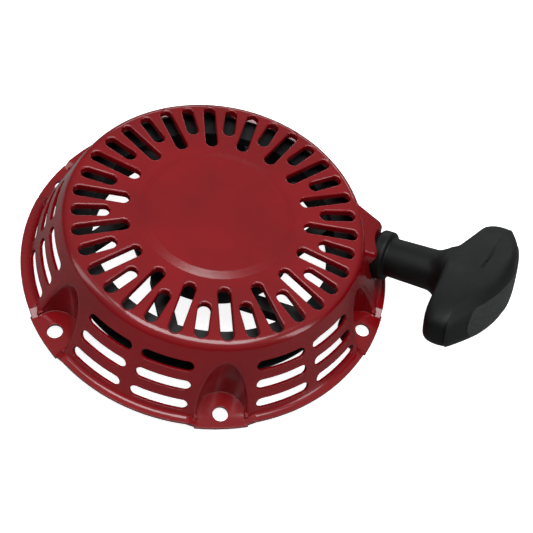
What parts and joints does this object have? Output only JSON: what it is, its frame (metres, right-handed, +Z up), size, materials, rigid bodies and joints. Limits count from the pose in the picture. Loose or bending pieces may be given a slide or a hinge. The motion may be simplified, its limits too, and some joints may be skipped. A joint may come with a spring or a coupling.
{
  "type": "recoil starter",
  "caption": "Pull-rope recoil starter: slotted round housing with six mounting pads, spring-return rope reel with ratchet pawls, and a T-handle.",
  "frame": {"origin": "centre of the bolt circle, on the plane of the mounting pads' undersides", "axes": "+Z up the reel's axis to the closed, slotted face; +X out past the rope outlet, which leans 20 degrees up and 20 degrees towards -Y"},
  "size_m": [0.2439, 0.1846, 0.067],
  "materials": {
    "painted_steel": "gloss red enamel on pressed steel",
    "plated_steel": "zinc plated",
    "spring_steel": "oiled blue-grey strip",
    "sintered_steel": "sintered, oiled",
    "reel_plastic": "moulded black nylon",
    "handle_plastic": "satin black",
    "handle_panel": "fine grained dark grey",
    "rope": "braided polyester, charcoal"
  },
  "bodies": {
    "housing": {"housing": "painted_steel", "rope_guide": "plated_steel", "centre_post": "plated_steel", "recoil_spring": "spring_steel", "rope_lead": "rope", "spring_washer": "spring_steel", "thrust_washer": "plated_steel", "centre_bolt": "plated_steel"},
    "reel": {"reel": "reel_plastic", "rope_coil": "rope", "reel_knot": "rope", "pawl_pins": "plated_steel", "ratchet_springs": "spring_steel"},
    "friction_plate": {"friction_plate": "plated_steel"},
    "pawl_a": {"pawl_a": "sintered_steel"},
    "pawl_b": {"pawl_b": "sintered_steel"},
    "handle": {"handle_body": "handle_plastic", "handle_cap": "handle_panel", "rope_retainer": "plated_steel", "handle_knot": "rope", "rope_tail": "rope"}
  },
  "joints": [
    {"name": "reel_spin", "type": "hinge", "parent": "housing", "child": "reel", "pos_m": [0, 0, 0.02], "axis": [0, 0, -1], "range_deg": [0, 560.74]},
    {"name": "handle_pull", "type": "slide", "parent": "housing", "child": "handle", "axis": [0.883, -0.3214, 0.342], "range_m": [0, 0.62]},
    {"name": "plate_shift", "type": "hinge", "parent": "reel", "child": "friction_plate", "pos_m": [0, 0, 0.001], "axis": [0, 0, 1], "range_deg": [0, 25]},
    {"name": "pawl_a_swing", "type": "hinge", "parent": "reel", "child": "pawl_a", "pos_m": [0.019, 0, 0.005], "axis": [0, 0, 1], "range_deg": [0, 34]},
    {"name": "pawl_b_swing", "type": "hinge", "parent": "reel", "child": "pawl_b", "pos_m": [-0.019, 0, 0.005], "axis": [0, 0, 1], "range_deg": [0, 34]}
  ],
  "couplings": [
    {"joint": "handle_pull", "follows": "reel_spin", "m_per_rad": 0.06335},
    {"joint": "pawl_a_swing", "follows": "plate_shift", "ratio": 1.2},
    {"joint": "pawl_b_swing", "follows": "plate_shift", "ratio": 1.2}
  ]
}
